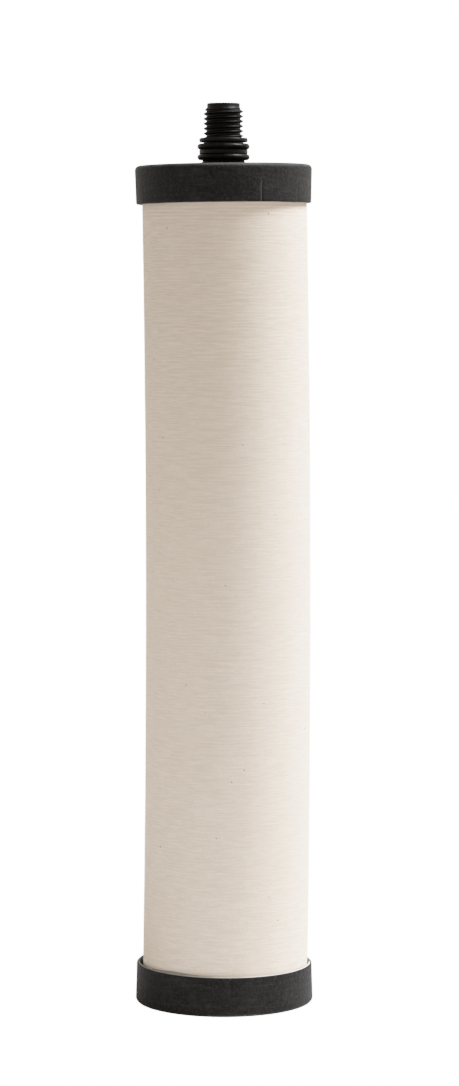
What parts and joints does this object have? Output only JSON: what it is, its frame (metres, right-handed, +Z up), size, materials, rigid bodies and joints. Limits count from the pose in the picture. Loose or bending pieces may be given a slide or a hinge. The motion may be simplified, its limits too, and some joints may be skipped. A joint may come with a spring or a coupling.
{
  "type": "ceramic water filter cartridge",
  "caption": "Upright ceramic tube filter cartridge with an end cap at each end and a sealed, threaded outlet spigot; strains water from outside in.",
  "frame": {"origin": "middle of the lower end cap's base, on the surface it stands on", "axes": "+Z up the cartridge and out of the spigot; +X is the side towards which the ceramic tube bows; +Y completes a right-handed frame"},
  "size_m": [0.0544, 0.0544, 0.2753],
  "materials": {
    "porous_ceramic": "matte",
    "cap_plastic": "matte",
    "spigot_plastic": "satin",
    "seal_rubber": "satin",
    "potting_resin": "satin",
    "core_plastic": "satin",
    "core_glue": "satin",
    "carbon": "matte",
    "fleece": "matte",
    "pad_foam": "matte",
    "strainer_plastic": "satin"
  },
  "bodies": {
    "root": {"ceramic_shell": "porous_ceramic", "lower_end_cap": "cap_plastic", "upper_end_cap": "cap_plastic", "lower_potting_resin": "potting_resin", "upper_potting_resin": "potting_resin", "base_pad": "pad_foam", "core_lower_cap": "core_plastic", "core_upper_cap": "core_plastic", "core_lower_glue": "core_glue", "core_upper_glue": "core_glue", "carbon_block": "carbon", "carbon_fleece_wrap": "fleece", "core_tube": "core_plastic", "outlet_strainer": "strainer_plastic", "core_seal_o_ring": "seal_rubber", "spigot_lock_ring": "strainer_plastic", "outlet_spigot": "spigot_plastic", "spigot_gasket": "seal_rubber", "spigot_o_ring_lower": "seal_rubber", "spigot_o_ring_upper": "seal_rubber"}
  },
  "joints": []
}
